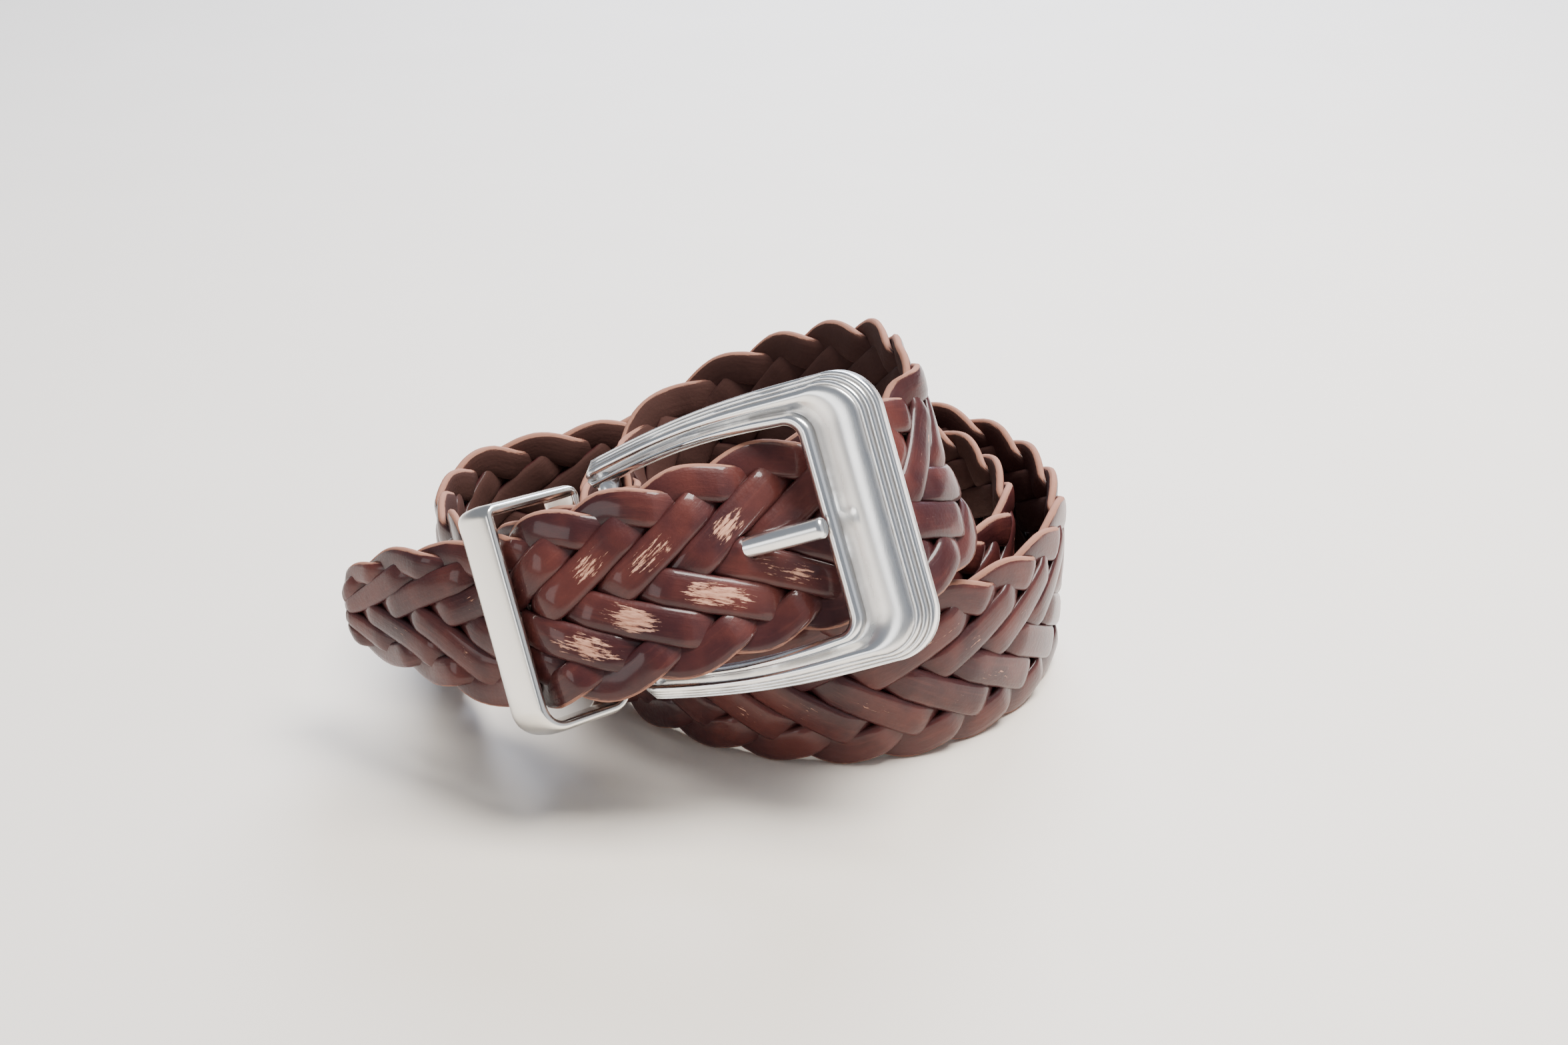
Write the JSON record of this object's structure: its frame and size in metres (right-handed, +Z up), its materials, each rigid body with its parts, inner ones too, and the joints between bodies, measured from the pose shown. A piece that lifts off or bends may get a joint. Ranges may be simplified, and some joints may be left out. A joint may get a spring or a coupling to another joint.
{
  "type": "braided leather belt",
  "caption": "Herringbone-braided leather belt coiled on edge and fastened, with a tapered cast metal buckle, round prong and metal keeper loop.",
  "frame": {"origin": "middle of the base of the coiled belt's bounding box, on the surface it rests on", "axes": "+X towards the far bar side of the buckle along the longest extent, +Z up, -Y towards the side the buckle faces"},
  "size_m": [0.1398, 0.118, 0.0793],
  "materials": {
    "leather": "glossy, worn to tan on the crowns of the braid",
    "buckle_metal": "polished nickel with soft wear",
    "keeper_metal": "polished nickel with soft wear"
  },
  "bodies": {
    "root": {"strap": "leather", "buckle_frame": "buckle_metal", "buckle_prong": "buckle_metal", "keeper": "keeper_metal"}
  },
  "joints": []
}
